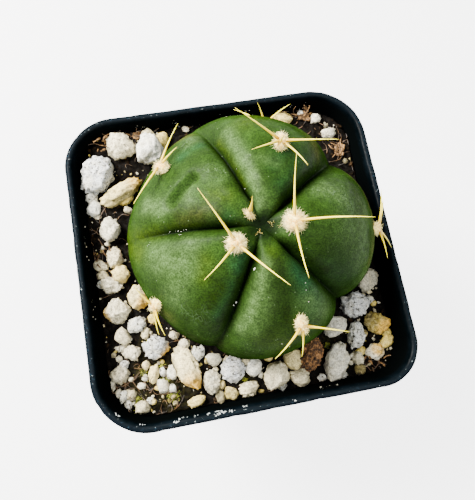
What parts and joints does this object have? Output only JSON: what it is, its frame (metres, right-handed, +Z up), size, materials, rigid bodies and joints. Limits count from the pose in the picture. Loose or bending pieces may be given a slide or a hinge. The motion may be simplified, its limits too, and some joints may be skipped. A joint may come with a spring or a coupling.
{
  "type": "potted globular cactus",
  "caption": "Small flattened-globe cactus with broad ribs, woolly cushions and curved spines, in a square black plastic nursery pot topped with loose pumice.",
  "frame": {"origin": "centre of the pot's footprint, on the surface it stands on", "axes": "+Z up; the pot's sides are square to X and Y, with -Y the side at the bottom of the picture and +X the side at its right"},
  "size_m": [0.07, 0.07, 0.092],
  "materials": {
    "pot_plastic": "black moulded plastic, semi-gloss, slightly scuffed",
    "potting_mix": "damp dark potting mix with fine grit",
    "cactus_skin": "green succulent skin, waxy and finely mottled",
    "areole_wool": "short cream wool",
    "spine": "straw-yellow hard spines, darker at the root",
    "pumice_pale": "off-white rough pumice",
    "pumice_grey": "grey porous pumice with dark specks",
    "scoria": "red-brown porous lava stone",
    "bark": "brown bark chip"
  },
  "bodies": {
    "root": {"bark_back": "bark", "bark_left": "bark", "bark_right": "bark", "cactus_body": "cactus_skin", "pot": "pot_plastic", "pumice_bean": "pumice_pale", "pumice_beige": "pumice_pale", "pumice_corner": "pumice_pale", "pumice_far": "pumice_pale", "pumice_front_a": "pumice_pale", "pumice_front_b": "pumice_pale", "pumice_front_c": "pumice_pale", "pumice_front_d": "pumice_pale", "pumice_front_e": "pumice_pale", "pumice_grey_front": "pumice_grey", "pumice_grey_left": "pumice_grey", "pumice_left_a": "pumice_pale", "pumice_left_b": "pumice_pale", "pumice_left_c": "pumice_pale", "pumice_left_d": "pumice_pale", "pumice_left_e": "pumice_pale", "pumice_left_f": "pumice_pale", "pumice_left_g": "pumice_pale", "pumice_long": "pumice_pale", "pumice_pale_back": "pumice_pale", "pumice_porous": "pumice_grey", "pumice_right_a": "pumice_pale", "pumice_right_b": "pumice_pale", "pumice_right_c": "pumice_pale", "pumice_right_d": "pumice_pale", "pumice_speckled": "pumice_grey", "pumice_white_back": "pumice_pale", "pumice_white_front": "pumice_pale", "pumice_yellow": "pumice_pale", "scoria": "scoria", "soil": "potting_mix", "spines_a_old": "spine", "spines_a_young": "spine", "spines_b_old": "spine", "spines_b_young": "spine", "spines_c_old": "spine", "spines_c_young": "spine", "spines_d_young": "spine", "spines_e_old": "spine", "spines_e_young": "spine", "wool_a_old": "areole_wool", "wool_a_young": "areole_wool", "wool_b_old": "areole_wool", "wool_b_young": "areole_wool", "wool_c_old": "areole_wool", "wool_c_young": "areole_wool", "wool_d_young": "areole_wool", "wool_e_old": "areole_wool", "wool_e_young": "areole_wool"}
  },
  "joints": []
}
